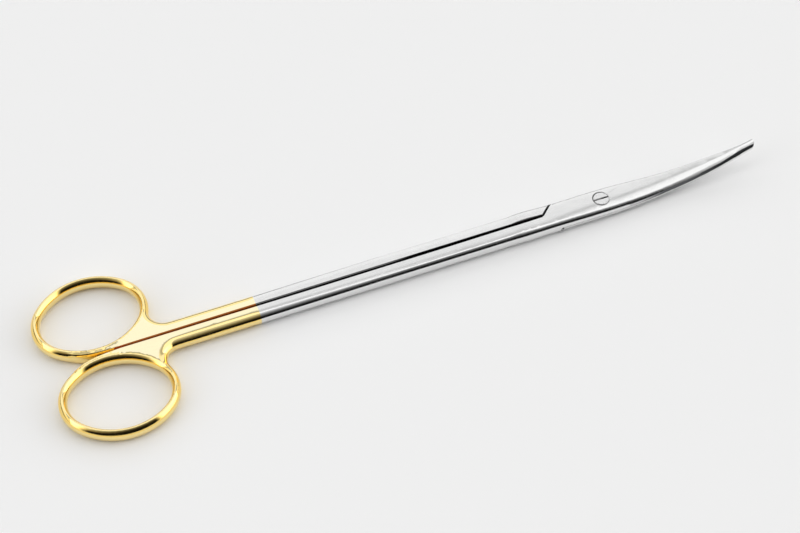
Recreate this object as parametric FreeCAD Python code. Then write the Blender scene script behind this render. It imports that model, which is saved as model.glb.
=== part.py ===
"""Dissecting scissors with long shanks and blades that curve upwards, in millimetres.

The scissors lie closed on the plane z = 0. The pivot axis is the Z axis, the tips point along +X and
the finger rings lie at -X. The upper half has its ring, shank and cutting edge on the -Y side, and its
plate is the top one at the joint. The lower half is its counterpart: ring and cutting edge on the +Y side
and the bottom plate. The faces that slide past each other are flat round the pivot and curve upwards
along X towards the tips, with a running gap between them.
"""
import FreeCAD, Part

import math
import os

from FreeCAD import Placement, Rotation, Vector

# Forging: the shanks and the joint
THICKNESS = 5.0
SHANK_WIDTH = 4.7
RING_END_SHOULDER = 2.2
SHANK_SHOULDER = 1.5
CROWN_WIDTH = 0.6
CROWN_ANGLE = 4.0
RING_TO_RESHAPING = 45.0
RESHAPING_LENGTH = 40.0

# Finger rings and the yoke
PIVOT_TO_RING = 160.2
RING_OFFSET = 15.25
RING_HALF_LENGTH = 16.5
RING_HALF_WIDTH = 13.5
RING_JOIN_ANGLE = 45.0
RING_TILT = 5.7
RING_TUBE = 2.7
TUBE_JOIN_ANGLE = 45.0
CROTCH_RADIUS = 4.6
YOKE_FADE_START = 128.0
YOKE_FADE_END = 74.0

# Slit between the closed shanks
SLIT_AT_RINGS = 0.34
SLIT_IN_MIDDLE = 0.64
SLIT_AT_JOINT = 0.44
SLIT_SHIFT = 0.3
SLIT_CHAMFER = 0.3

# Joint
STEP_TO_PIVOT = 19.8
STEP_SLANT = 5.0
STEP_GAP = 0.35
RUNNING_GAP = 0.1

# Blades
PIVOT_TO_TIP = 52.5
TAPER_START = 2.0
TAPER_POWER = 1.1
TIP_WIDTH = 2.4
TIP_THICKNESS = 2.6
CURVE_START = 11.0
TIP_RISE = 6.6
HOLLOW_DEPTH = 0.08
RIDGE_TO_PIVOT = 1.5
RIDGE_START = 30.0
BEVEL_ANGLE = 9.0
TIP_BEVEL_ANGLE = 24.0
RIDGE_POWER = 0.8

# Hard strips along the cutting edges
INSERT_START = 8.0
INSERT_WIDTH = 1.1
INSERT_THICKNESS = 0.7

# Joint screw
SCREW_RADIUS = 1.5
HEAD_RADIUS = 2.45
HEAD_RIM = 0.25
HEAD_CONE = 0.95
HEAD_RECESS = 0.05
HEAD_CLEARANCE = 0.06
BORE_CLEARANCE = 0.05
SLOT_WIDTH = 0.5
SLOT_DEPTH = 0.6

# Distance between the lofted sections of the blades
SECTION_SPACING = 12.0

MIDDLE = THICKNESS / 2
UP = Vector(0, 0, 1)
AXIS_X = Vector(1, 0, 0)
AXIS_Y = Vector(0, 1, 0)
ROUND = 4 * (math.sqrt(2) - 1) / 3
MARGIN = 3.0
REACH = PIVOT_TO_TIP + MARGIN
WIDE = SHANK_WIDTH + MARGIN
UPPER = -1
LOWER = 1


# Helpers

def blend(first, last, share):
    """Value between first and last."""
    return first + (last - first) * share


def ease(x, start, end):
    """S-curve from 0 at start to 1 at end."""
    share = min(max((x - start) / (end - start), 0.0), 1.0)
    return share * share * (3 - 2 * share)


def find_root(function, low, high):
    """Root of a function that changes sign once between low and high."""
    rising = function(high) > 0
    for _ in range(60):
        middle = (low + high) / 2
        if (function(middle) > 0) == rising:
            high = middle
        else:
            low = middle
    return (low + high) / 2


def line(start, end):
    """Straight edge."""
    return Part.LineSegment(start, end).toShape()


def bezier(*poles):
    """Bezier edge through poles given as (x, y, z)."""
    curve = Part.BezierCurve()
    curve.setPoles([Vector(*pole) for pole in poles])
    return curve.toShape()


def spline(points):
    """Smooth edge through points."""
    curve = Part.BSplineCurve()
    curve.interpolate(points)
    return curve.toShape()


def chain(points):
    """Straight edges from each point to the next."""
    return [line(here, after) for here, after in zip(points, points[1:])]


def column(edges):
    """Upright solid over a closed plan outline at z = 0, reaching past the scissors both ways."""
    face = Part.Face(Part.Wire(edges))
    face.translate(UP * -MARGIN)
    return face.extrude(UP * (THICKNESS + TIP_RISE + 2 * MARGIN))


def turned(edges):
    """Solid of revolution about the pivot axis from a closed outline in the XZ plane."""
    return Part.Face(Part.Wire(edges)).revolve(Vector(), UP, 360)


# Form of the closed pair

def taper(x):
    """Share of the blades' taper, from 0 beside the pivot to 1 at the tip."""
    return max(x - TAPER_START, 0.0) / (PIVOT_TO_TIP - TAPER_START)


def half_width(x):
    """Distance from the middle line to either side."""
    return blend(SHANK_WIDTH, TIP_WIDTH / 2, taper(x) ** TAPER_POWER)


def half_height(x):
    """Distance from the parting surface to the top, and to the underside."""
    return blend(MIDDLE, TIP_THICKNESS / 2, taper(x))


def rise(radius):
    """Height that the blades have gained at a distance from the pivot axis: a tangent arc."""
    run = PIVOT_TO_TIP - CURVE_START
    arc_radius = (run ** 2 + TIP_RISE ** 2) / (2 * TIP_RISE)
    past = max(radius - CURVE_START, 0.0)
    return arc_radius - math.sqrt(arc_radius ** 2 - past ** 2)


def section(x):
    """Closed section of the pair in the plane at x: it looks the same when turned half round.

    The top runs from the rounded spine at +Y over a flat to the ridge, and over the bevel and a
    rounded shoulder to the side at -Y.
    """
    width = half_width(x)
    height = half_height(x)
    thin = height / MIDDLE
    reshaping = RING_TO_RESHAPING - PIVOT_TO_RING
    steel = ease(x, reshaping, reshaping + RESHAPING_LENGTH)
    blade = ease(x, -RIDGE_START, CURVE_START)
    shoulder = blend(RING_END_SHOULDER, SHANK_SHOULDER, steel) * thin
    spine = shoulder * thin
    angle = blend(CROWN_ANGLE * steel, BEVEL_ANGLE, blade)
    slope = math.tan(math.radians(blend(angle, TIP_BEVEL_ANGLE, taper(x) ** 2)))
    ridge = blend(shoulder + CROWN_WIDTH - width, -RIDGE_TO_PIVOT, ease(x, -RIDGE_START, TAPER_START))
    ridge = blend(ridge, width / 2 - spine, taper(x) ** RIDGE_POWER)
    bevel_end = shoulder - width
    bevel_drop = (ridge - bevel_end) * slope
    side_drop = (ridge + width) * slope
    profile = [
        [(width, 0), (width, ROUND * height), (width - spine + ROUND * spine, height), (width - spine, height)],
        [(width - spine, height), (ridge, height)],
        [(ridge, height), (bevel_end, height - bevel_drop)],
        [
            (bevel_end, height - bevel_drop),
            (blend(bevel_end, -width, ROUND), height - blend(bevel_drop, side_drop, ROUND)),
            (-width, ROUND * (height - side_drop)),
            (-width, 0),
        ],
    ]
    centre = MIDDLE + rise(x)
    edges = []
    for turn in (1, -1):
        for poles in profile:
            edges.append(bezier(*[(x, turn * y, centre + turn * z) for y, z in poles]))
    return Part.Wire(edges)


def pair_body(back):
    """The closed pair from the yoke to the tips, before it is parted."""
    plain_end = RING_TO_RESHAPING - PIVOT_TO_RING
    slim_start = plain_end + RESHAPING_LENGTH
    blade_start = -RIDGE_START
    plain = Part.Face(section(plain_end)).extrude(AXIS_X * (back - plain_end))
    shank = Part.makeLoft([section(x) for x in (plain_end, slim_start, blade_start)], True, True)
    count = round((PIVOT_TO_TIP - blade_start) / SECTION_SPACING)
    places = [blend(blade_start, PIVOT_TO_TIP, i / count) for i in range(count + 1)]
    blades = Part.makeLoft([section(x) for x in places], True, False)
    return plain.fuse([shank, blades]).common(tip_column())


def tip_column():
    """Plan column that rounds the tips."""
    radius = TIP_WIDTH / 2
    centre = PIVOT_TO_TIP - radius
    nose = Part.Arc(Vector(centre, -radius, 0), Vector(PIVOT_TO_TIP, 0, 0), Vector(centre, radius, 0)).toShape()
    rest = chain([
        Vector(centre, radius, 0),
        Vector(centre - radius, WIDE, 0),
        Vector(-PIVOT_TO_RING, WIDE, 0),
        Vector(-PIVOT_TO_RING, -WIDE, 0),
        Vector(centre - radius, -WIDE, 0),
        Vector(centre, -radius, 0),
    ])
    return column([nose] + rest)


# Finger ring and yoke, modelled at +Y

class Oval:
    """Oval of four tangent arcs, with its long axis along X; places on it are named by the way they face."""

    def __init__(self, half_length, half_width, join_angle):
        self.half_length = half_length
        self.half_width = half_width
        self.join = math.radians(join_angle)
        self.excess = (half_length - half_width) / (math.sin(self.join) + math.cos(self.join) - 1)

    def arc(self, angle):
        """Centre and radius of the arc that holds the place facing an angle."""
        if abs(math.sin(angle)) < math.sin(self.join):
            shift = self.excess * math.cos(self.join)
            return Vector(math.copysign(shift, math.cos(angle)), 0, 0), self.half_length - shift
        shift = self.excess * math.sin(self.join)
        return Vector(0, -math.copysign(shift, math.sin(angle)), 0), self.half_width + shift

    def point(self, angle, offset=0.0):
        """Place facing an angle, moved outwards by an offset."""
        centre, radius = self.arc(angle)
        return centre + Vector(math.cos(angle), math.sin(angle), 0) * (radius + offset)

    def joins(self):
        """Angles at which the arcs meet, once round."""
        return [self.join - math.pi, -self.join, self.join, math.pi - self.join, math.pi + self.join]

    def edges(self, start, end):
        """Arcs from one angle to another."""
        turns = [start] + [join for join in self.joins() if start < join < end] + [end]
        return [
            Part.Arc(self.point(here), self.point((here + after) / 2), self.point(after)).toShape()
            for here, after in zip(turns, turns[1:])
        ]


RING = Oval(RING_HALF_LENGTH, RING_HALF_WIDTH, RING_JOIN_ANGLE)
TUBE = Oval(MIDDLE, RING_TUBE / 2, TUBE_JOIN_ANGLE)
RING_PLACE = Placement(Vector(-PIVOT_TO_RING, RING_OFFSET, MIDDLE), Rotation(UP, RING_TILT))


def ring_point(angle, offset=0.0):
    """Place on the ring's centre line, moved outwards by an offset."""
    return RING_PLACE.multVec(RING.point(angle, offset))


def ring_tube():
    """Finger ring: an upright oval turned through the four arcs."""
    joins = RING.joins()
    outline = Part.Wire(TUBE.edges(TUBE.joins()[0], TUBE.joins()[-1]))
    spans = []
    for start, end in zip(joins, joins[1:]):
        outward = Vector(math.cos(start), math.sin(start), 0)
        upright = Placement(RING.point(start), Rotation(UP, outward, UP.cross(outward), "ZXY"))
        oval = Part.Face(outline.transformed(upright.toMatrix()))
        centre, _ = RING.arc((start + end) / 2)
        spans.append(oval.revolve(centre, UP, math.degrees(end - start)))
    return spans[0].fuse(spans[1:]).transformed(RING_PLACE.toMatrix())


def crotch():
    """Angle on the ring's centre line, and centre, of the fillet between the ring and the shank."""
    reach = RING_TUBE / 2 + CROTCH_RADIUS
    level = SHANK_WIDTH + CROTCH_RADIUS
    angle = find_root(lambda a: ring_point(a, reach).y - level, -math.pi / 2, math.pi / 2)
    return angle, ring_point(angle, reach)


def crotch_spool(centre):
    """Spool-shaped space beside the fillet, which leaves a wall as round as the side of the shank."""
    rim = CROTCH_RADIUS + RING_END_SHOULDER
    waist = CROTCH_RADIUS
    full = blend(rim, waist, ROUND)
    edges = [
        bezier((waist, 0, 0), (waist, 0, ROUND * MIDDLE), (full, 0, MIDDLE), (rim, 0, MIDDLE)),
        *chain([Vector(rim, 0, MIDDLE), Vector(0, 0, MIDDLE), Vector(0, 0, -MIDDLE), Vector(rim, 0, -MIDDLE)]),
        bezier((rim, 0, -MIDDLE), (full, 0, -MIDDLE), (waist, 0, -ROUND * MIDDLE), (waist, 0, 0)),
    ]
    spool = turned(edges)
    spool.translate(centre)
    return spool


def web_reach(angle):
    """Distance from the ring's centre line to the middle line, outwards at an angle."""
    return ring_point(angle).y / -math.sin(angle + math.radians(RING_TILT))


def fade_section(share):
    """Section of the yoke across the ring's rim: from inside the tube to a full web with a soft edge."""
    angle = -math.radians(blend(YOKE_FADE_START, YOKE_FADE_END, share))
    tube = RING_TUBE / 2 - SLIT_CHAMFER
    height = blend(MIDDLE - SLIT_CHAMFER, MIDDLE, share)
    width = blend(tube, web_reach(angle), ease(share, 0, 1))
    flat = width - blend(tube - SLIT_CHAMFER, SLIT_CHAMFER, share)
    full = blend(flat, width, ROUND)
    edges = [
        bezier((0, 0, height), (flat, 0, height)),
        bezier((flat, 0, height), (full, 0, height), (width, 0, ROUND * height), (width, 0, 0)),
        bezier((width, 0, 0), (width, 0, -ROUND * height), (full, 0, -height), (flat, 0, -height)),
        bezier((flat, 0, -height), (0, 0, -height)),
        bezier((0, 0, -height), (0, 0, height)),
    ]
    upright = Placement(RING.point(angle), Rotation(UP, math.degrees(angle)))
    return Part.Wire(edges).transformed((RING_PLACE * upright).toMatrix())


def yoke():
    """Flat-topped web between the ring, the middle line and the fillet to the shank; it fades into the ring."""
    angle, centre = crotch()
    end = -math.radians(YOKE_FADE_END)
    rim = [edge.transformed(RING_PLACE.toMatrix()) for edge in RING.edges(end, angle)]
    rest = chain([
        ring_point(angle),
        centre,
        Vector(centre.x, 0, MIDDLE),
        ring_point(end, web_reach(end)),
        ring_point(end),
    ])
    face = Part.Face(Part.Wire(rim + rest))
    face.translate(UP * -MIDDLE)
    web = face.extrude(UP * THICKNESS).cut(crotch_spool(centre))
    fade = Part.makeLoft([fade_section(share) for share in (0, 0.35, 0.7, 1)], True, False)
    return web.fuse(fade)


# Spaces that part the pair into two halves

def step_place(across):
    """Place along X of the slanted step at a distance from the middle line."""
    return -STEP_TO_PIVOT + STEP_SLANT * across / SHANK_WIDTH


def shank_outline(side, widening=0.0):
    """Plan outline of the other half's shank and of the slit, which reaches into this half by a widening."""
    back = -PIVOT_TO_RING - RING_HALF_LENGTH
    front = crotch()[1].x
    middle = (front - STEP_TO_PIVOT) / 2
    at_rings = side * (SLIT_AT_RINGS / 2 + widening)
    in_middle = side * (SLIT_IN_MIDDLE / 2 + widening)
    at_joint = SLIT_SHIFT + side * (SLIT_AT_JOINT / 2 + widening)
    slit = spline([Vector(front, at_rings, 0), Vector(middle, in_middle, 0), Vector(-STEP_TO_PIVOT, at_joint, 0)])
    rest = chain([
        Vector(-STEP_TO_PIVOT, at_joint, 0),
        Vector(-STEP_TO_PIVOT, SLIT_SHIFT, 0),
        Vector(step_place(WIDE), -side * WIDE, 0),
        Vector(back, -side * WIDE, 0),
        Vector(back, at_rings, 0),
        Vector(front, at_rings, 0),
    ])
    return [slit] + rest


def other_shank(side):
    """Space of the other half's shank and of the slit between them, with chamfers at both ends."""
    spaces = [column(shank_outline(side))]
    for face, out in ((THICKNESS, 1), (0, -1)):
        narrow = Part.Wire(shank_outline(side))
        broad = Part.Wire(shank_outline(side, 2 * SLIT_CHAMFER))
        narrow.translate(UP * (face - out * SLIT_CHAMFER))
        broad.translate(UP * (face + out * SLIT_CHAMFER))
        spaces.append(Part.makeLoft([narrow, broad], True, True))
    return spaces


def beyond_inner_face(side, depth=0.0):
    """Space on the other half's side of this half's inner face, moved into this half by a depth.

    The face is flat round the screw and hollowed slightly from there to the tip.
    """
    far = MIDDLE + side * (THICKNESS + TIP_RISE + 2 * MARGIN)
    bearing = MIDDLE - side * (RUNNING_GAP / 2 + depth)
    waist = (CURVE_START + REACH) / 2
    back = -STEP_TO_PIVOT - MARGIN
    start = Vector(CURVE_START, 0, bearing)
    deepest = Vector(waist, 0, bearing + rise(waist) - side * HOLLOW_DEPTH)
    end = Vector(REACH, 0, bearing + rise(REACH))
    hollow = Part.Arc(start, deepest, end).toShape()
    rest = chain([end, Vector(REACH, 0, far), Vector(back, 0, far), Vector(back, 0, bearing), start])
    face = Part.Face(Part.Wire([hollow] + rest))
    face.translate(AXIS_Y * -WIDE)
    return face.extrude(AXIS_Y * 2 * WIDE)


def other_plate(side):
    """Space of the other half's plate and blade."""
    corner = -STEP_TO_PIVOT - STEP_GAP
    plan = column(chain([
        Vector(corner, -side * WIDE, 0),
        Vector(corner, SLIT_SHIFT, 0),
        Vector(step_place(WIDE) - STEP_GAP, side * WIDE, 0),
        Vector(REACH, side * WIDE, 0),
        Vector(REACH, -side * WIDE, 0),
        Vector(corner, -side * WIDE, 0),
    ]))
    return plan.common(beyond_inner_face(side))


def forged_half(side, pair):
    """One forged half, without the screw's hole and the pocket of its hard strip."""
    handle = ring_tube().fuse(yoke())
    if side == UPPER:
        handle.rotate(Vector(0, 0, MIDDLE), AXIS_X, 180)
    return pair.fuse(handle).cut(other_shank(side) + [other_plate(side)])


def edge_pocket(side):
    """Space of the hard strip: a band along the cutting edge, as deep as the strip is thick."""
    inner = []
    for share in (0, 0.5, 1):
        x = blend(INSERT_START, PIVOT_TO_TIP, share)
        inner.append(Vector(x, side * (half_width(x) - INSERT_WIDTH), 0))
    plan = column([spline(inner)] + chain([
        inner[-1],
        Vector(REACH, inner[-1].y, 0),
        Vector(REACH, side * WIDE, 0),
        Vector(INSERT_START, side * WIDE, 0),
        inner[0],
    ]))
    return plan.common(beyond_inner_face(side, INSERT_THICKNESS))


# Joint screw

def screw_outline(clearance_head, clearance_shaft, foot, top):
    """Outline of the screw, or of its hole, from the foot to the top of the head."""
    head = HEAD_RADIUS + clearance_head
    shaft = SCREW_RADIUS + clearance_shaft
    seat = THICKNESS - HEAD_RECESS - HEAD_RIM
    return chain([
        Vector(0, 0, foot),
        Vector(shaft, 0, foot),
        Vector(shaft, 0, seat - HEAD_CONE),
        Vector(head, 0, seat),
        Vector(head, 0, top),
        Vector(0, 0, top),
        Vector(0, 0, foot),
    ])


def joint_screw():
    """Countersunk screw with a straight slot: head just below the top face, foot flush underneath."""
    top = THICKNESS - HEAD_RECESS
    body = turned(screw_outline(0, 0, 0, top))
    slot = Part.makeBox(2 * HEAD_RADIUS, SLOT_WIDTH, SLOT_DEPTH)
    slot.translate(Vector(-HEAD_RADIUS, -SLOT_WIDTH / 2, top - SLOT_DEPTH))
    return body.cut(slot)


def main():
    """Build and export every piece."""
    os.makedirs("parts", exist_ok=True)
    pair = pair_body(crotch()[1].x - 2 * CROTCH_RADIUS)
    upper = forged_half(UPPER, pair)
    lower = forged_half(LOWER, pair)
    running_hole = turned(screw_outline(HEAD_CLEARANCE, BORE_CLEARANCE, -MARGIN, THICKNESS + MARGIN))
    threaded_hole = Part.makeCylinder(SCREW_RADIUS, THICKNESS, Vector(0, 0, -MIDDLE))
    upper = upper.cut(running_hole)
    lower = lower.cut(threaded_hole)
    upper_pocket = edge_pocket(UPPER)
    lower_pocket = edge_pocket(LOWER)
    pieces = {
        "upper_half": upper.cut(upper_pocket),
        "lower_half": lower.cut(lower_pocket),
        "upper_edge_insert": upper.common(upper_pocket),
        "lower_edge_insert": lower.common(lower_pocket),
        "joint_screw": joint_screw(),
    }
    for name, shape in pieces.items():
        print(name, len(shape.Solids), shape.isValid(), round(shape.Volume, 2), shape.BoundBox)
        shape.exportStep("parts/" + name + ".step")


main()
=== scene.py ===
"""Dissecting scissors with gold-plated finger rings, dressed and staged for a studio picture."""
import logging
import math
from dataclasses import dataclass
from enum import Enum

import bpy
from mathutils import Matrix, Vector
from mathutils.kdtree import KDTree


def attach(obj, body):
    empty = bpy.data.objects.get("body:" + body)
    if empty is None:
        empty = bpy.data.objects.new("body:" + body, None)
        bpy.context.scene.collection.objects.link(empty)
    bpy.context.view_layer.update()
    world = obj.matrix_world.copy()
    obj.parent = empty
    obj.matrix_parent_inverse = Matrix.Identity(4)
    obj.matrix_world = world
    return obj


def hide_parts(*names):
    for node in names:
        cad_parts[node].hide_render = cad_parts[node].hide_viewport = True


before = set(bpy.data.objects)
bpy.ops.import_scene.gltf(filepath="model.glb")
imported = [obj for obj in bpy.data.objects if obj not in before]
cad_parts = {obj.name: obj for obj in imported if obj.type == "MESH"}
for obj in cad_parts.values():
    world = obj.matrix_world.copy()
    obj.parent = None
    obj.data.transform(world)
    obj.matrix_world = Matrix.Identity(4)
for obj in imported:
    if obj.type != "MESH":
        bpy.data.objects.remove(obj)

LOG = logging.getLogger("scissors")
MM = 0.001
MICRON = 0.001 * MM
NEXT_TO_NOTHING = 1e-12
NEARLY_UPRIGHT = 1e-6
Colour = tuple[float, float, float]
Span = tuple[float, float]
Socket = bpy.types.NodeSocket


class Channel(Enum):
    """Sockets of the Principled shader that a finish feeds."""

    COLOUR = "Base Color"
    ROUGHNESS = "Roughness"
    METALLIC = "Metallic"
    NORMAL = "Normal"


class Mixed(Enum):
    """What a Mix node mixes: its data type, and the places of its first input and of its output."""

    NUMBERS = ("FLOAT", 2, 0)
    COLOURS = ("RGBA", 6, 2)


# Node helpers

class Nodes:
    """Thin writer for a node tree. A value may be a number, a colour or the output of another node."""

    def __init__(self, tree: bpy.types.NodeTree) -> None:
        """Keep the tree and clear it.

        Args:
            tree: The tree to write.
        """
        self.tree = tree
        tree.nodes.clear()

    def add(self, kind: str, settings: dict | None = None, **inputs: object) -> bpy.types.Node:
        """Add a node, set its properties and fill or link its inputs.

        Args:
            kind: Blender's node type.
            settings: Properties of the node.
            inputs: Values by the name of the input, with _ for a space. A name such as n0 gives the place
                of the input instead.

        Returns:
            The new node.
        """
        node = self.tree.nodes.new(kind)
        for name, value in (settings or {}).items():
            setattr(node, name, value)
        for name, value in inputs.items():
            key = int(name[1:]) if name[1:].isdigit() else name.replace("_", " ")
            self.put(node.inputs[key], value)
        return node

    def put(self, socket: Socket, value: object) -> None:
        """Link an output to a socket, or set the socket to a value.

        Args:
            socket: Input that gets the value.
            value: Output socket, number or colour.
        """
        if isinstance(value, Socket):
            self.tree.links.new(value, socket)
        elif isinstance(value, tuple) and socket.type == "RGBA":
            socket.default_value = (*value, 1.0)
        else:
            socket.default_value = value

    def math(self, operation: str, first: object, second: object = 0.0) -> Socket:
        """Add a Math node.

        Args:
            operation: Name of the operation.
            first: First value.
            second: Second value, for an operation that has one.

        Returns:
            The result.
        """
        return self.add("ShaderNodeMath", {"operation": operation}, n0=first, n1=second).outputs[0]

    def plus(self, first: object, second: object) -> Socket:
        """Add two values."""
        return self.math("ADD", first, second)

    def times(self, first: object, *others: object) -> Socket:
        """Multiply values in turn.

        Args:
            first: First value.
            others: The values that it is multiplied by.

        Returns:
            The product.
        """
        for other in others:
            first = self.math("MULTIPLY", first, other)
        return first

    def between(
        self, value: object, low: float, high: float, first: float = 0.0, last: float = 1.0
    ) -> Socket:
        """Map a range smoothly to another one.

        Args:
            value: Value to map.
            low: Value that gives first.
            high: Value that gives last.
            first: Result at low.
            last: Result at high.

        Returns:
            The result.
        """
        ends = {"From_Min": low, "From_Max": high, "To_Min": first, "To_Max": last}
        node = self.add("ShaderNodeMapRange", {"interpolation_type": "SMOOTHSTEP"}, Value=value, **ends)
        return node.outputs["Result"]

    def window(self, value: object, rise: Span, fall: Span) -> Socket:
        """Mark the values between two ranges.

        Args:
            value: Value to judge.
            rise: Range in which the mask goes from 0 to 1.
            fall: Range in which it goes back to 0.

        Returns:
            Mask from 0 to 1.
        """
        return self.times(self.between(value, *rise), self.between(value, *fall, 1.0, 0.0))

    def mix(self, share: object, first: object, second: object, mixed: Mixed = Mixed.COLOURS) -> Socket:
        """Mix two values.

        Args:
            share: Share of the second value.
            first: First value.
            second: Second value.
            mixed: Whether they are colours or numbers.

        Returns:
            The mixed value.
        """
        data_type, place, result = mixed.value
        node = self.add("ShaderNodeMix", {"data_type": data_type}, n0=share)
        self.put(node.inputs[place], first)
        self.put(node.inputs[place + 1], second)
        return node.outputs[result]

    def blend(self, share: object, first: object, second: object) -> Socket:
        """Mix two numbers."""
        return self.mix(share, first, second, Mixed.NUMBERS)

    def coordinates(self) -> bpy.types.bpy_prop_collection:
        """Give the outputs of a Texture Coordinate node."""
        return self.add("ShaderNodeTexCoord").outputs

    def parts(self, vector: Socket) -> bpy.types.bpy_prop_collection:
        """Split a vector into its X, Y and Z."""
        return self.add("ShaderNodeSeparateXYZ", Vector=vector).outputs

    def noise(self, place: Socket, scale: object, detail: float = 2.0, harshness: float = 0.5) -> Socket:
        """Add a Noise Texture node.

        Args:
            place: Where the noise is read.
            scale: Its fineness.
            detail: How many finer layers it has.
            harshness: How strong those are.

        Returns:
            The noise, as a number.
        """
        inputs = {"Scale": scale, "Detail": detail, "Roughness": harshness}
        return self.add("ShaderNodeTexNoise", Vector=place, **inputs).outputs["Fac"]

    def relief(self, height: Socket, strength: float, distance: float) -> Socket:
        """Turn a height into a bumped normal.

        Args:
            height: Height of the surface, as a number.
            strength: Strength of the relief.
            distance: Depth in metres that a height of 1 stands for.

        Returns:
            The normal.
        """
        return self.add("ShaderNodeBump", Height=height, Strength=strength, Distance=distance).outputs[0]

    def effect(self, group: bpy.types.NodeTree, **inputs: float) -> bpy.types.bpy_prop_collection:
        """Place a node group and give its outputs."""
        return self.add("ShaderNodeGroup", {"node_tree": group}, **inputs).outputs


def new_group(name: str, inputs: dict[str, float], outputs: tuple[str, ...]) -> tuple[Nodes, dict, dict]:
    """Start a shader node group whose inputs and outputs are numbers.

    Args:
        name: Name of the group.
        inputs: Default value of each input by its name.
        outputs: Names of the outputs.

    Returns:
        The writer of the group, the values that come in and the sockets that lead out, both by name.
    """
    group = bpy.data.node_groups.new(name, "ShaderNodeTree")
    for label, value in inputs.items():
        socket = group.interface.new_socket(label, in_out="INPUT", socket_type="NodeSocketFloat")
        socket.default_value = value
    for label in outputs:
        group.interface.new_socket(label, in_out="OUTPUT", socket_type="NodeSocketFloat")
    nodes = Nodes(group)
    entry = nodes.add("NodeGroupInput").outputs
    end = nodes.add("NodeGroupOutput").inputs
    return nodes, {label: entry[label] for label in inputs}, {label: end[label] for label in outputs}


@dataclass(frozen=True)
class PolishLines:
    """Fine lines of the last polish, drawn out along X."""

    fineness: float = 9000.0
    stretch: float = 30.0
    detail: float = 4.0
    harshness: float = 0.6
    contrast: Span = (0.3, 0.7)

    def build(self) -> bpy.types.NodeTree:
        """Make the node group.

        Returns:
            Group with inputs Fineness and Stretch and the output Lines, from 0 to 1.
        """
        inputs = {"Fineness": self.fineness, "Stretch": self.stretch}
        nodes, entry, end = new_group("Polish lines", inputs, ("Lines",))
        along = nodes.math("DIVIDE", 1.0, entry["Stretch"])
        scale = nodes.add("ShaderNodeCombineXYZ", X=along, Y=1.0, Z=1.0).outputs[0]
        place = nodes.coordinates()["Object"]
        drawn = nodes.add("ShaderNodeVectorMath", {"operation": "MULTIPLY"}, n0=place, n1=scale).outputs[0]
        noise = nodes.noise(drawn, entry["Fineness"], self.detail, self.harshness)
        nodes.put(end["Lines"], nodes.between(noise, *self.contrast))
        return nodes.tree


@dataclass(frozen=True)
class HandlingMarks:
    """Hairline scratches and faint wiping smudges from handling.

    Attributes:
        bend: How far the scratches stray from straight lines.
        bend_scale: Fineness of that straying.
        turns: Direction of each set of scratches, in radians from X.
        hair: Fineness of the scratches along, across and through the surface.
        hair_limits: Range of noise in which a scratch begins.
        cloud_scale: Fineness of the smudges.
        cloud_limits: Range of noise in which a smudge begins.
    """

    bend: float = 4.0 * MM
    bend_scale: float = 60.0
    turns: tuple[float, float] = (0.35, 1.4)
    hair: tuple[float, float, float] = (90.0, 2600.0, 900.0)
    hair_limits: Span = (0.66, 0.72)
    cloud_scale: float = 140.0
    cloud_detail: float = 3.0
    cloud_harshness: float = 0.55
    cloud_limits: Span = (0.42, 0.7)

    def build(self) -> bpy.types.NodeTree:
        """Make the node group.

        Returns:
            Group with the input Amount and the outputs Scratches and Smudges, from 0 to 1.
        """
        nodes, entry, end = new_group("Handling marks", {"Amount": 1.0}, ("Scratches", "Smudges"))
        place = nodes.coordinates()["Object"]
        stray = nodes.add("ShaderNodeTexNoise", Vector=place, Scale=self.bend_scale, Detail=1.0)
        inputs = {"n0": stray.outputs["Color"], "n1": (self.bend, self.bend, self.bend), "n2": place}
        bent = nodes.add("ShaderNodeVectorMath", {"operation": "MULTIPLY_ADD"}, **inputs).outputs[0]
        hairs = []
        for turn in self.turns:
            drawn = nodes.add("ShaderNodeMapping", Vector=bent, Rotation=(0.0, 0.0, turn), Scale=self.hair)
            noise = nodes.noise(drawn.outputs[0], 1.0)
            hairs.append(nodes.between(noise, *self.hair_limits))
        scratches = nodes.math("MAXIMUM", *hairs)
        clouds = nodes.noise(place, self.cloud_scale, self.cloud_detail, self.cloud_harshness)
        smudges = nodes.between(clouds, *self.cloud_limits)
        nodes.put(end["Scratches"], nodes.times(scratches, entry["Amount"]))
        nodes.put(end["Smudges"], nodes.times(smudges, entry["Amount"]))
        return nodes.tree


@dataclass(frozen=True)
class Effects:
    """Node groups that several finishes share."""

    polish: bpy.types.NodeTree
    handling: bpy.types.NodeTree

    @classmethod
    def build(cls) -> "Effects":
        """Make the groups once."""
        return cls(PolishLines().build(), HandlingMarks().build())


# Finishes

def new_metal(name: str) -> tuple[bpy.types.Material, Nodes, bpy.types.Node]:
    """Start a metal's material.

    Args:
        name: Name of the material.

    Returns:
        The material, the writer of its nodes and its Principled shader.
    """
    material = bpy.data.materials.new(name)
    material.use_nodes = True
    nodes = Nodes(material.node_tree)
    shader = nodes.add("ShaderNodeBsdfPrincipled")
    shader.inputs[Channel.METALLIC.value].default_value = 1.0
    nodes.add("ShaderNodeOutputMaterial", Surface=shader.outputs[0])
    return material, nodes, shader


@dataclass(frozen=True)
class Steel:
    """Satin stainless steel with a fine lengthwise polish.

    Attributes:
        shade: Colour in the polish lines.
        shade_share: How much of it they show.
        roughness: Roughness of the flat tops.
        side_roughness: Roughness of the sides.
        flat: How far up a surface faces, from a side to a flat top.
        fineness: Fineness of the polish lines.
    """

    colour: Colour = (0.81, 0.81, 0.805)
    shade: Colour = (0.74, 0.745, 0.75)
    shade_share: float = 0.5
    roughness: float = 0.19
    side_roughness: float = 0.085
    flat: Span = (0.93, 0.985)
    fineness: float = 9000.0


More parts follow.
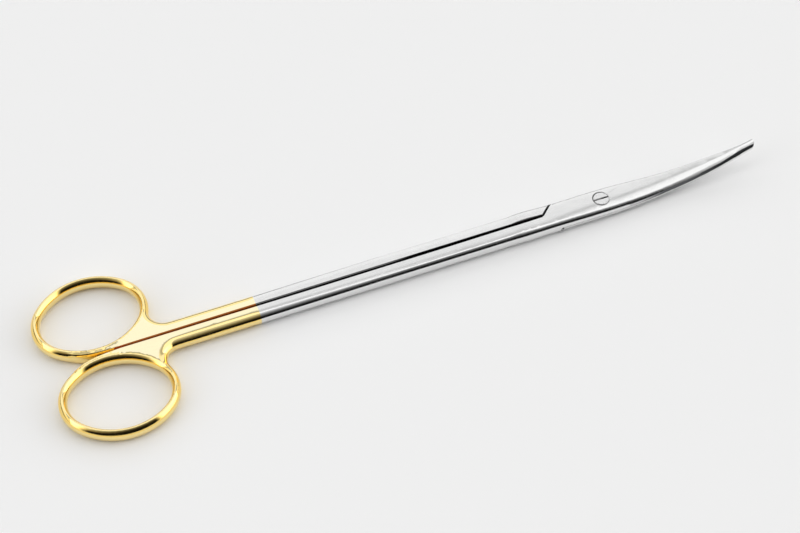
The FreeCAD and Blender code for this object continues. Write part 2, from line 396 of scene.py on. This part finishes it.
@dataclass(frozen=True)
class Gold:
    """Polished gold plate, with a painted highlight that makes the flat tops paler and painted shade that
    makes the shoulders a deeper gold.

    Attributes:
        painted_shoulder_shade: Painted shade, the deeper gold colour of the shoulders.
        shoulder_rise: How far up a surface faces where the shoulders begin.
        shoulder_fall: How far up it faces where they end.
        painted_top_highlight: Painted highlight, the paler colour of the flat tops.
        level: How far up a surface faces, from a top without the painted highlight to one with it.
        end: Place along X where the plating ends.
        edge: Width over which it wavers and fades there.
        edge_scale: Fineness of that wavering.
    """

    colour: Colour = (1.0, 0.80, 0.36)
    # Painted shade: deeper gold on the shoulders.
    painted_shoulder_shade: Colour = (1.0, 0.71, 0.21)
    shoulder_rise: Span = (0.24, 0.36)
    shoulder_fall: Span = (0.66, 0.84)
    # Painted highlight: paler gold on the flat tops.
    painted_top_highlight: Colour = (0.97, 0.87, 0.58)
    level: Span = (0.9965, 0.9993)
    roughness: float = 0.07
    end: float = -113.1 * MM
    edge: float = 0.12 * MM
    edge_scale: float = 2500.0


@dataclass(frozen=True)
class PaintedGapShade:
    """Painted shade on the tops of the walls of the slit between the shanks and of the slanted step at the
    joint, and on the step's edges and part of the rim round the screw.

    Attributes:
        steel: Painted shade colour of the walls on the steel part.
        gold: Painted shade colour of the walls on the gold part.
        start: Place along X where the slit begins.
        chamfer: How much less steep a chamfer is that still counts as a wall.
        chamfers_from: Places along X between which the slit's chamfers come to count.
        steep: How far to the side the slit's walls face.
        depth: Heights between which the painted shade of the walls comes in.
        step: Place along X where the step begins.
        step_slant: How far the step runs along X for each length across.
        step_steep: How far along X the step's wall faces.
        half_width: Farthest that a wall lies from the middle of the slit or the step.
        edge: Half the width of the painted dark line, painted shade along the edges of the step.
        screw_rim: Radius of the countersink round the screw.
        rim_side: Places along X between which the painted shade on that rim comes in.
        rim_share: How dark that painted shade becomes.
    """

    # Painted shade: near black on the steel walls, reddish brown on the gold ones.
    steel: Colour = (0.03, 0.03, 0.03)
    gold: Colour = (0.72, 0.24, 0.05)
    gold_roughness: float = 0.5
    start: float = -157.0 * MM
    chamfer: float = 0.3
    chamfers_from: Span = (-85.0 * MM, -50.0 * MM)
    steep: Span = (0.8, 0.9)
    depth: Span = (3.5 * MM, 3.9 * MM)
    step: float = -19.8 * MM
    step_slant: float = 5.0 / 4.7
    step_steep: Span = (0.5, 0.6)
    half_width: float = 0.8 * MM
    edge: float = 0.42 * MM
    screw_rim: float = 2.8 * MM
    rim_side: Span = (3.4 * MM, -1.5 * MM)
    rim_share: float = 0.8


@dataclass(frozen=True)
class Wear:
    """What polish lines and handling marks do to a forging's gloss and relief.

    Attributes:
        lines: Roughness that the polish lines add on steel.
        smudges: Roughness that the smudges add.
        scratches: Roughness that the scratches add.
        line_depth: Height of the polish lines on steel.
        gold_share: Share of that height on gold.
        scratch_depth: Depth of the scratches.
        distance: What a height of 1 stands for.
    """

    lines: float = 0.05
    smudges: float = 0.05
    scratches: float = 0.08
    line_depth: float = 0.03
    gold_share: float = 0.15
    scratch_depth: float = 0.12
    distance: float = 2.0 * MICRON


@dataclass(frozen=True)
class Spot:
    """What the finish of a forging reads at each spot of its surface.

    Attributes:
        place: Object coordinates.
        facing: Direction that the surface faces.
        up: How far up it faces.
        lines: Polish lines.
        scratches: Hairline scratches.
        smudges: Wiping smudges.
        plated: Share of gold.
    """

    place: Socket
    facing: Socket
    up: Socket
    lines: Socket
    scratches: Socket
    smudges: Socket
    plated: Socket


@dataclass(frozen=True)
class PlatedSteel:
    """Steel forging whose ring end is plated with gold."""

    steel: Steel
    gold: Gold
    painted_gap_shade: PaintedGapShade
    wear: Wear

    def material(self, name: str, effects: Effects) -> bpy.types.Material:
        """Build the material.

        Args:
            name: Name of the material.
            effects: Shared node groups.

        Returns:
            The material.
        """
        material, nodes, shader = new_metal(name)
        spot = self._spot(nodes, effects)
        # Mask of the painted shade in the slit, on the step and round the screw.
        painted_gap_shade = self._gap_shade_mask(nodes, spot)
        nodes.put(shader.inputs[Channel.COLOUR.value], self._colour(nodes, spot, painted_gap_shade))
        nodes.put(shader.inputs[Channel.ROUGHNESS.value], self._roughness(nodes, spot, painted_gap_shade))
        nodes.put(shader.inputs[Channel.NORMAL.value], self._relief(nodes, spot))
        return material

    def _spot(self, nodes: Nodes, effects: Effects) -> Spot:
        """Read the place, the marks and the plating of each spot.

        Args:
            nodes: Writer of the material's nodes.
            effects: Shared node groups.

        Returns:
            What the finish reads.
        """
        lines = nodes.effect(effects.polish, Fineness=self.steel.fineness)["Lines"]
        marks = nodes.effect(effects.handling)
        coordinates = nodes.coordinates()
        place = coordinates["Object"]
        facing = coordinates["Normal"]
        waver = nodes.times(nodes.noise(place, self.gold.edge_scale), self.gold.edge)
        along = nodes.plus(nodes.parts(place)["X"], waver)
        plated = nodes.between(along, self.gold.end + self.gold.edge, self.gold.end)
        up = nodes.parts(facing)["Z"]
        return Spot(place, facing, up, lines, marks["Scratches"], marks["Smudges"], plated)

    def _gap_shade_mask(self, nodes: Nodes, spot: Spot) -> Socket:
        """Find the walls of the slit and of the step, the step's edges and the rim round the screw, where
        shade is painted.

        Args:
            nodes: Writer of the material's nodes.
            spot: What the finish reads.

        Returns:
            Mask of painted shade, from 0 to 1.
        """
        where = nodes.parts(spot.place)
        way = nodes.parts(spot.facing)
        across = nodes.math("ABSOLUTE", where["Y"])
        chamfers = nodes.between(where["X"], *self.painted_gap_shade.chamfers_from)
        chamfers = nodes.times(nodes.math("MAXIMUM", spot.plated, chamfers), self.painted_gap_shade.chamfer)
        sideways = nodes.plus(nodes.math("ABSOLUTE", way["Y"]), chamfers)
        # Painted shade on the slit's walls, and on its chamfers past a place along X.
        walls = nodes.times(
            nodes.between(sideways, *self.painted_gap_shade.steep),
            nodes.math("LESS_THAN", across, self.painted_gap_shade.half_width),
            nodes.math("GREATER_THAN", where["X"], self.painted_gap_shade.start),
            nodes.math("LESS_THAN", where["X"], self.painted_gap_shade.step),
        )
        slant = nodes.plus(nodes.times(across, self.painted_gap_shade.step_slant), self.painted_gap_shade.step)
        apart = nodes.math("ABSOLUTE", nodes.math("SUBTRACT", where["X"], slant))
        lengthwise = nodes.between(nodes.math("ABSOLUTE", way["X"]), *self.painted_gap_shade.step_steep)
        step = nodes.times(lengthwise, nodes.math("LESS_THAN", apart, self.painted_gap_shade.half_width))
        # Painted shade: a dark line on the top faces beside the step.
        outside = nodes.math("GREATER_THAN", nodes.times(where["Y"], way["Z"]), 0.0)
        edge = nodes.times(outside, nodes.math("LESS_THAN", apart, self.painted_gap_shade.edge))
        # Painted shade on one side of the rim round the screw.
        level = nodes.add("ShaderNodeCombineXYZ", X=where["X"], Y=where["Y"]).outputs[0]
        radius = nodes.add("ShaderNodeVectorMath", {"operation": "LENGTH"}, n0=level).outputs["Value"]
        inside = nodes.math("LESS_THAN", radius, self.painted_gap_shade.screw_rim)
        darkened = nodes.between(where["X"], *self.painted_gap_shade.rim_side)
        rim = nodes.times(inside, self.painted_gap_shade.rim_share, darkened)
        # Painted shade on the step's walls and the slit's, near the top only.
        near_top = nodes.between(where["Z"], *self.painted_gap_shade.depth)
        gaps = nodes.times(nodes.math("MAXIMUM", walls, step), near_top)
        return nodes.math("MAXIMUM", gaps, nodes.math("MAXIMUM", edge, rim))

    def _colour(self, nodes: Nodes, spot: Spot, painted_gap_shade: Socket) -> Socket:
        """Colour the steel, the gold and the painted shade on the walls.

        Args:
            nodes: Writer of the material's nodes.
            spot: What the finish reads.
            painted_gap_shade: Mask of the painted shade on the walls.

        Returns:
            The colour.
        """
        shaded = nodes.times(spot.lines, self.steel.shade_share)
        steel = nodes.mix(shaded, self.steel.colour, self.steel.shade)
        # Painted highlight: the flat tops turn paler as they face straight up.
        tops = nodes.mix(nodes.between(spot.up, *self.gold.level), self.gold.colour, self.gold.painted_top_highlight)
        # Painted shade: the shoulders turn a deeper gold by how far up they face.
        shoulder = nodes.window(spot.up, self.gold.shoulder_rise, self.gold.shoulder_fall)
        gold = nodes.mix(shoulder, tops, self.gold.painted_shoulder_shade)
        # Painted shade colour of the walls, near black on steel and reddish brown on gold.
        walls = nodes.mix(spot.plated, self.painted_gap_shade.steel, self.painted_gap_shade.gold)
        return nodes.mix(painted_gap_shade, nodes.mix(spot.plated, steel, gold), walls)

    def _roughness(self, nodes: Nodes, spot: Spot, painted_gap_shade: Socket) -> Socket:
        """Roughen the flat tops, the marks and the gold walls that carry painted shade.

        Args:
            nodes: Writer of the material's nodes.
            spot: What the finish reads.
            painted_gap_shade: Mask of the painted shade on the walls.

        Returns:
            The roughness.
        """
        smudges = nodes.times(spot.smudges, self.wear.smudges)
        dull = nodes.plus(nodes.times(spot.lines, self.wear.lines), smudges)
        steel = nodes.between(spot.up, *self.steel.flat, self.steel.side_roughness, self.steel.roughness)
        rough = nodes.blend(spot.plated, nodes.plus(steel, dull), nodes.plus(self.gold.roughness, smudges))
        rough = nodes.plus(rough, nodes.times(spot.scratches, self.wear.scratches))
        return nodes.blend(nodes.times(painted_gap_shade, spot.plated), rough, self.painted_gap_shade.gold_roughness)

    def _relief(self, nodes: Nodes, spot: Spot) -> Socket:
        """Raise the polish lines and cut the scratches.

        Args:
            nodes: Writer of the material's nodes.
            spot: What the finish reads.

        Returns:
            The normal.
        """
        depth = nodes.blend(spot.plated, self.wear.line_depth, self.wear.line_depth * self.wear.gold_share)
        cuts = nodes.times(spot.scratches, self.wear.scratch_depth)
        height = nodes.math("SUBTRACT", nodes.times(spot.lines, depth), cuts)
        return nodes.relief(height, 1.0, self.wear.distance)


@dataclass(frozen=True)
class HardMetal:
    """Fine-ground dark grey hard metal of the cutting strips.

    Attributes:
        shade: Colour in the grinding lines.
        root: Lighter, steel-like colour of the end near the joint.
        root_fade: Places along X between which that colour fades out.
        fineness: Fineness of the grinding lines.
        stretch: How far they are drawn out.
        line_roughness: Roughness that they add.
        strength: Strength of their relief.
        distance: Depth of their relief.
    """

    colour: Colour = (0.155, 0.16, 0.17)
    shade: Colour = (0.09, 0.093, 0.10)
    root: Colour = (0.62, 0.62, 0.63)
    root_fade: Span = (9.0 * MM, 21.0 * MM)
    roughness: float = 0.22
    fineness: float = 22000.0
    stretch: float = 3.0
    line_roughness: float = 0.12
    strength: float = 0.5
    distance: float = 2.0 * MICRON

    def material(self, name: str, effects: Effects) -> bpy.types.Material:
        """Build the material.

        Args:
            name: Name of the material.
            effects: Shared node groups.

        Returns:
            The material.
        """
        material, nodes, shader = new_metal(name)
        lines = nodes.effect(effects.polish, Fineness=self.fineness, Stretch=self.stretch)["Lines"]
        along = nodes.parts(nodes.coordinates()["Object"])["X"]
        ground = nodes.mix(lines, self.colour, self.shade)
        colour = nodes.mix(nodes.between(along, *self.root_fade), self.root, ground)
        rough = nodes.plus(self.roughness, nodes.times(lines, self.line_roughness))
        nodes.put(shader.inputs[Channel.COLOUR.value], colour)
        nodes.put(shader.inputs[Channel.ROUGHNESS.value], rough)
        nodes.put(shader.inputs[Channel.NORMAL.value], nodes.relief(lines, self.strength, self.distance))
        return material


@dataclass(frozen=True)
class TurnedSteel:
    """Lathe-turned screw head, with rings about the pivot and painted shade in the slot.

    Attributes:
        floor: Height of the slot's floor.
        slot_shade_height: Height above the floor at which the painted shade ends.
        paler_end: Places along X between which the paler end of the slot's painted shade passes into the
            darker one.
        paler: How much the painted shade lifts at the paler end.
        ring_scale: Fineness of the turned rings.
        ring_waver: How much they waver.
        ring_roughness: Roughness that they add.
        smudge_roughness: Roughness that the smudges add.
        strength: Strength of the rings' relief.
        distance: Depth of the rings' relief.
    """

    colour: Colour = (0.80, 0.80, 0.80)
    # Painted shade: near-black colour in the slot.
    slot_shade: Colour = (0.05, 0.048, 0.045)
    roughness: float = 0.2
    slot_roughness: float = 0.6
    floor: float = 4.45 * MM
    slot_shade_height: float = 0.3 * MM
    paler_end: Span = (0.2 * MM, 0.8 * MM)
    paler: float = 0.7
    ring_scale: float = 1800.0
    ring_waver: float = 0.4
    ring_roughness: float = 0.08
    smudge_roughness: float = 0.08
    strength: float = 0.4
    distance: float = 3.0 * MICRON

    def material(self, name: str, effects: Effects) -> bpy.types.Material:
        """Build the material.

        Args:
            name: Name of the material.
            effects: Shared node groups.

        Returns:
            The material.
        """
        material, nodes, shader = new_metal(name)
        smudges = nodes.effect(effects.handling)["Smudges"]
        place = nodes.coordinates()["Object"]
        where = nodes.parts(place)
        wave = {"wave_type": "RINGS", "rings_direction": "Z"}
        inputs = {"Scale": self.ring_scale, "Distortion": self.ring_waver}
        rings = nodes.add("ShaderNodeTexWave", wave, Vector=place, **inputs).outputs["Fac"]
        # Painted shade in the slot near its floor, lighter towards one end.
        raised = nodes.between(where["Z"], self.floor, self.floor + self.slot_shade_height)
        paler = nodes.between(where["X"], *self.paler_end, self.paler, 0.0)
        unshaded = nodes.math("MAXIMUM", raised, paler)
        turned = nodes.times(rings, self.ring_roughness)
        marks = nodes.plus(turned, nodes.times(smudges, self.smudge_roughness))
        rough = nodes.plus(marks, nodes.blend(unshaded, self.slot_roughness, self.roughness))
        nodes.put(shader.inputs[Channel.COLOUR.value], nodes.mix(unshaded, self.slot_shade, self.colour))
        nodes.put(shader.inputs[Channel.ROUGHNESS.value], rough)
        nodes.put(shader.inputs[Channel.NORMAL.value], nodes.relief(rings, self.strength, self.distance))
        return material


# Sub-assemblies

def select_only(piece: bpy.types.Object) -> None:
    """Select one object and make it active.

    Args:
        piece: The object.
    """
    bpy.ops.object.select_all(action="DESELECT")
    piece.select_set(True)
    bpy.context.view_layer.objects.active = piece


def part_way(value: float, start: float, end: float) -> float:
    """Give the share of the way from start to end at which a value lies, from 0 to 1."""
    return min(max((value - start) / (end - start), 0.0), 1.0)


@dataclass
class SmoothPiece:
    """Copy of a metal piece with one skin, finer faces and true shading in place of loose triangles.

    Angles are in degrees.

    Attributes:
        node: The CAD node that the piece stands for.
        body: The body that it rides on.
        slot: Name of a material slot for the piece; not used.
        weld: Distance at which corners become one.
        flat_angle: Angle up to which neighbouring faces are one flat face.
        crease_angle: Angle from which an edge stays sharp.
        facet: Length above which an edge is halved.
        halvings: How many times over.
        soft_edge: Width by which the sharp edges are rounded, or 0.
        soft_segments: Faces across such a rounding.
        soft_angle: Angle from which an edge is rounded.
        soft_height: Height from which it is.
        soft_span: Places along X between which it is.
        ring_softness: Radius over which the shading of the rings is evened out.
        side_softness: The same for the sides of the shanks and blades.
        top_softness: The same for the hand-ground tops of the joint and blades.
        reach: How many such radii away a face still counts.
        shank: Places along X between which the rings pass into the shanks.
        ground: Places along X between which the tops come to be hand-ground.
        top_slopes: Slopes between which a top passes into a side.
        keel: How much the middle of a side's slopes is tilted.
        keel_end: Slope at which the tilt ends.
    """

    node: str
    body: str
    slot: str
    weld: float = 0.002 * MM
    flat_angle: float = 0.5
    crease_angle: float = 28.0
    facet: float = 1.1 * MM
    halvings: int = 4
    soft_edge: float = 0.0
    soft_segments: int = 2
    soft_angle: float = 50.0
    soft_height: float = 4.5 * MM
    soft_span: Span = (-112.0 * MM, 49.0 * MM)
    ring_softness: float = 0.28 * MM
    side_softness: float = 0.55 * MM
    top_softness: float = 1.0 * MM
    reach: float = 2.5
    shank: Span = (-148.0 * MM, -136.0 * MM)
    ground: Span = (-75.0 * MM, -45.0 * MM)
    top_slopes: Span = (9.0, 15.0)
    keel: float = 5.0
    keel_end: float = 50.0

    def build(self) -> bpy.types.Object:
        """Copy the node, round its sharp edges, halve its long ones and even out its shading.

        Returns:
            The new piece.
        """
        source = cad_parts[self.node]
        piece = bpy.data.objects.new(self.node + "_skin", source.data.copy())
        bpy.context.scene.collection.objects.link(piece)
        select_only(piece)
        self._join()
        if self.soft_edge:
            self._soften(piece)
        for _ in range(self.halvings):
            self._halve(piece.data)
        bpy.ops.object.shade_smooth_by_angle(angle=math.radians(self.crease_angle))
        self._even(piece.data)
        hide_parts(self.node)
        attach(piece, self.body)
        return piece

    def _join(self) -> None:
        """Make one skin of the active piece's loose triangles, with even triangles on its flat faces."""
        bpy.ops.object.mode_set(mode="EDIT")
        bpy.ops.mesh.select_all(action="SELECT")
        bpy.ops.mesh.remove_doubles(threshold=self.weld)
        bpy.ops.mesh.customdata_custom_splitnormals_clear()
        bpy.ops.mesh.dissolve_limited(angle_limit=math.radians(self.flat_angle))
        bpy.ops.mesh.quads_convert_to_tris(quad_method="BEAUTY", ngon_method="BEAUTY")
        bpy.ops.object.mode_set(mode="OBJECT")

    def _soften(self, piece: bpy.types.Object) -> None:
        """Round the sharp edges that lie high enough and within a span along X.

        Args:
            piece: The piece, active and in object mode.
        """
        bpy.ops.object.mode_set(mode="EDIT")
        bpy.ops.mesh.select_mode(type="EDGE")
        bpy.ops.mesh.select_all(action="DESELECT")
        bpy.ops.mesh.edges_select_sharp(sharpness=math.radians(self.soft_angle))
        bpy.ops.object.mode_set(mode="OBJECT")
        mesh = piece.data
        weights = []
        for edge in mesh.edges:
            ends = [mesh.vertices[index].co for index in edge.vertices]
            high = min(end.z for end in ends) > self.soft_height
            within = all(self.soft_span[0] < end.x < self.soft_span[1] for end in ends)
            weights.append(float(edge.select and high and within))
        mesh.attributes.new("bevel_weight_edge", "FLOAT", "EDGE").data.foreach_set("value", weights)
        edges = piece.modifiers.new("edges", "BEVEL")
        edges.width = self.soft_edge
        edges.segments = self.soft_segments
        edges.use_clamp_overlap = False
        edges.limit_method = "WEIGHT"
        bpy.ops.object.modifier_apply(modifier=edges.name)

    def _halve(self, mesh: bpy.types.Mesh) -> None:
        """Halve the edges that are longer than a facet.

        Args:
            mesh: Mesh of the active piece, in object mode.
        """
        places = [vertex.co.copy() for vertex in mesh.vertices]
        long_ones = []
        for edge in mesh.edges:
            first, last = edge.vertices
            long_ones.append((places[first] - places[last]).length > self.facet)
        bpy.ops.object.mode_set(mode="EDIT")
        bpy.ops.mesh.select_mode(type="EDGE")
        bpy.ops.mesh.select_all(action="DESELECT")
        bpy.ops.object.mode_set(mode="OBJECT")
        mesh.edges.foreach_set("select", long_ones)
        bpy.ops.object.mode_set(mode="EDIT")
        bpy.ops.mesh.subdivide(number_cuts=1)
        bpy.ops.mesh.select_all(action="SELECT")
        bpy.ops.mesh.quads_convert_to_tris(quad_method="BEAUTY", ngon_method="BEAUTY")
        bpy.ops.object.mode_set(mode="OBJECT")

    def _softness(self, place: Vector, base: Vector) -> tuple[float, float]:
        """Choose how widely the shading is evened out at a corner.

        The tops of the joint and the blades were ground by hand, so their ridges are soft.

        Args:
            place: Place of the corner.
            base: Direction of the skin there.

        Returns:
            Radius of the mean, and the cosine of the widest angle that it takes in.
        """
        slope = math.degrees(math.acos(min(1.0, abs(base.z))))
        top_slope, side_slope = self.top_slopes
        top = part_way(slope, side_slope, top_slope) * part_way(place.x, *self.ground)
        angle = self.crease_angle + (side_slope - self.crease_angle) * top
        past_ring = part_way(place.x, *self.shank)
        side = self.ring_softness + (self.side_softness - self.ring_softness) * past_ring
        return side + (self.top_softness - side) * top, math.cos(math.radians(angle))

    def _keeled(self, normal: Vector) -> Vector:
        """Tilt a side wall's direction away from level, as on a wall with a faint keel along its middle.

        Args:
            normal: Direction of the skin.

        Returns:
            The tilted direction.
        """
        lift = math.degrees(math.asin(max(-1.0, min(1.0, normal.z))))
        more = self.keel * math.sin(math.pi * min(abs(lift) / self.keel_end, 1.0))
        lift = math.radians(lift + math.copysign(more, lift))
        level = Vector((normal.x, normal.y, 0.0))
        if level.length < NEARLY_UPRIGHT:
            return normal
        return level.normalized() * math.cos(lift) + Vector((0.0, 0.0, math.sin(lift)))

    def _even(self, mesh: bpy.types.Mesh) -> None:
        """Give each corner the mean direction of the faces round it on its side of any crease.

        Args:
            mesh: The piece's mesh.
        """
        tree = KDTree(len(mesh.polygons))
        for face in mesh.polygons:
            tree.insert(face.center, face.index)
        tree.balance()
        faces = [(face.normal.copy(), face.area) for face in mesh.polygons]
        known: dict[tuple[int, float, float, float], Vector] = {}
        normals = []
        for loop in mesh.loops:
            base = loop.normal
            key = (loop.vertex_index, round(base.x, 1), round(base.y, 1), round(base.z, 1))
            if key not in known:
                place = mesh.vertices[loop.vertex_index].co
                softness, limit = self._softness(place, base)
                mean = base * NEXT_TO_NOTHING
                for _, index, distance in tree.find_range(place, self.reach * softness):
                    normal, area = faces[index]
                    if normal.dot(base) > limit:
                        mean += normal * (area * math.exp(-((distance / softness) ** 2)))
                known[key] = self._keeled(mean.normalized())
            normals.append(known[key])
        mesh.normals_split_custom_set(normals)


@dataclass
class Scissors:
    """The whole instrument: two forged halves, their hard strips and the joint screw.

    Attributes:
        forging: Finish of the halves.
        strip: Finish of the hard strips.
        screw: Finish of the joint screw.
        forging_edge: Width by which the sharp edges of the halves are rounded.
        screw_edge: The same for the screw.
        screw_angle: Angle from which an edge of the screw is rounded, in degrees.
    """

    forging: PlatedSteel
    strip: HardMetal
    screw: TurnedSteel
    forging_edge: float = 0.12 * MM
    screw_edge: float = 0.16 * MM
    screw_angle: float = 28.0

    def build(self) -> list[bpy.types.Object]:
        """Make the pieces.

        Returns:
            The pieces.
        """
        forged = {"soft_edge": self.forging_edge}
        turned = {"soft_edge": self.screw_edge, "soft_angle": self.screw_angle}
        plan = [
            SmoothPiece("upper_half", "upper", "upper_half", **forged),
            SmoothPiece("lower_half", "lower", "lower_half", **forged),
            SmoothPiece("upper_edge_insert", "upper", "edge_insert"),
            SmoothPiece("lower_edge_insert", "lower", "edge_insert"),
            SmoothPiece("joint_screw", "lower", "joint_screw", **turned),
        ]
        return [piece.build() for piece in plan]

    def dress(self, pieces: list[bpy.types.Object], effects: Effects) -> None:
        """Give each piece its finish.

        Args:
            pieces: The pieces in the order of build.
            effects: Shared node groups.
        """
        forged = self.forging.material("plated_forging", effects)
        strip = self.strip.material("hard_metal", effects)
        screw = self.screw.material("turned_steel", effects)
        for piece, material in zip(pieces, (forged, forged, strip, strip, screw)):
            piece.data.materials.clear()
            piece.data.materials.append(material)


# Stage

@dataclass
class Studio:
    """Pale table, a wide soft box overhead and a dark room in front of the table.

    Directions in the room are given by two angles in degrees: the arch, from the front horizon over the top
    to the back horizon, and the bearing, from straight in front towards +X.

    Attributes:
        table_drop: How far the table lies under the scissors, so that the two don't share a face.
        box_light: Light of the soft box overhead.
        side_light: Light towards the sides of the room.
        side_height: Heights between which one passes into the other.
        dim_arch: Arches between which the front of the soft box brightens.
        dim_share: How much it is dimmed before that.
        gap_light: Light of the gap behind the soft box.
        box_to_gap: Arches between which the soft box passes into the gap.
        back_light: Light of the wall at the back.
        gap_to_back: Arches between which the gap passes into the wall.
        low_light: Light at the foot of that wall.
        back_to_low: Arches between which the wall passes into its foot.
        front_dark: Light of the dark room in front.
        dark_to_box: Arches between which the dark passes into the soft box.
        dark_left: Bearings between which the dark begins.
        dark_right: Bearings between which it ends.
    """

    table_size: float = 8.0
    table_drop: float = 0.05 * MM
    table_colour: Colour = (0.95, 0.95, 0.948)
    table_roughness: float = 0.7
    table_gloss: float = 0.2
    box_light: float = 1.2
    side_light: float = 2.4
    side_height: Span = (0.75, 0.35)
    dim_arch: Span = (84.0, 107.0)
    dim_share: float = 0.4
    gap_light: float = 0.5
    box_to_gap: Span = (111.0, 114.0)
    back_light: float = 1.09
    gap_to_back: Span = (121.5, 125.5)
    low_light: float = 0.15
    back_to_low: Span = (158.0, 168.0)
    front_dark: float = 0.01
    dark_to_box: Span = (24.0, 86.0)
    dark_left: Span = (-84.0, -58.0)
    dark_right: Span = (36.0, 50.0)

    def build(self) -> None:
        """Make the table and the surroundings."""
        self._table()
        self._room()

    def _table(self) -> None:
        """Make the table top."""
        bpy.ops.object.select_all(action="DESELECT")
        bpy.ops.mesh.primitive_plane_add(size=self.table_size, location=(0, 0, -self.table_drop))
        table = bpy.context.object
        table.name = "table"
        material = bpy.data.materials.new("table")
        material.use_nodes = True
        shader = material.node_tree.nodes["Principled BSDF"]
        shader.inputs[Channel.COLOUR.value].default_value = (*self.table_colour, 1.0)
        shader.inputs[Channel.ROUGHNESS.value].default_value = self.table_roughness
        shader.inputs["Specular IOR Level"].default_value = self.table_gloss
        table.data.materials.append(material)

    def _room(self) -> None:
        """Light the room by direction: bright above, a dim gap behind the soft box, dark low in front."""
        world = bpy.data.worlds.new("studio")
        bpy.context.scene.world = world
        world.use_nodes = True
        nodes = Nodes(world.node_tree)
        way = nodes.parts(nodes.coordinates()["Generated"])
        forward = nodes.times(way["Y"], -1.0)
        arch = nodes.math("DEGREES", nodes.math("ARCTAN2", way["Z"], forward))
        bearing = nodes.math("DEGREES", nodes.math("ARCTAN2", way["X"], forward))
        front = nodes.window(bearing, self.dark_left, self.dark_right)
        dim = nodes.times(front, nodes.between(arch, *self.dim_arch, self.dim_share, 0.0))
        overhead = nodes.between(way["Z"], *self.side_height, self.box_light, self.side_light)
        overhead = nodes.times(overhead, nodes.math("SUBTRACT", 1.0, dim))
        light = nodes.blend(nodes.between(arch, *self.box_to_gap), overhead, self.gap_light)
        wall = nodes.between(arch, *self.back_to_low, self.back_light, self.low_light)
        light = nodes.blend(nodes.between(arch, *self.gap_to_back), light, wall)
        dark = nodes.times(front, nodes.between(arch, *self.dark_to_box, 1.0, 0.0))
        light = nodes.blend(dark, light, self.front_dark)
        glow = nodes.add("ShaderNodeBackground", Color=(1.0, 1.0, 1.0), Strength=light)
        nodes.add("ShaderNodeOutputWorld", Surface=glow.outputs[0])


@dataclass
class PictureCamera:
    """Camera at the photograph's viewing angle.

    Angles are in degrees, and lens and sensor in millimetres.
    """

    target: tuple[float, float, float] = (-66.47 * MM, 1.60 * MM, 0.0)
    azimuth: float = -21.80
    elevation: float = 50.63
    distance: float = 634.35 * MM
    nearest: float = 10.0 * MM
    lens: float = 93.70
    sensor: float = 36.0

    def build(self) -> bpy.types.Object:
        """Place the camera and make it the scene's.

        Returns:
            The camera.
        """
        turn = math.radians(self.azimuth)
        lift = math.radians(self.elevation)
        level = math.cos(lift)
        back = Vector((math.sin(turn) * level, -math.cos(turn) * level, math.sin(lift)))
        data = bpy.data.cameras.new("picture")
        data.lens = self.lens
        data.sensor_width = self.sensor
        data.sensor_fit = "HORIZONTAL"
        data.clip_start = self.nearest
        camera = bpy.data.objects.new("picture", data)
        camera.location = Vector(self.target) + back * self.distance
        camera.rotation_mode = "QUATERNION"
        camera.rotation_quaternion = (-back).to_track_quat("-Z", "Y")
        bpy.context.scene.collection.objects.link(camera)
        bpy.context.scene.camera = camera
        return camera


def main() -> None:
    """Build the scene in order and report each piece."""
    logging.basicConfig(level=logging.INFO, format="%(name)s: %(message)s")
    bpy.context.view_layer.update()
    bpy.ops.object.select_all(action="DESELECT")
    bpy.context.scene.view_settings.view_transform = "Standard"
    scissors = Scissors(PlatedSteel(Steel(), Gold(), PaintedGapShade(), Wear()), HardMetal(), TurnedSteel())
    pieces = scissors.build()
    scissors.dress(pieces, Effects.build())
    for piece in pieces:
        LOG.info("%s: %d faces", piece.name, len(piece.data.polygons))
    Studio().build()
    LOG.info("table and room")
    camera = PictureCamera().build()
    LOG.info("camera: %s", camera.name)


if __name__ == "__main__":
    main()
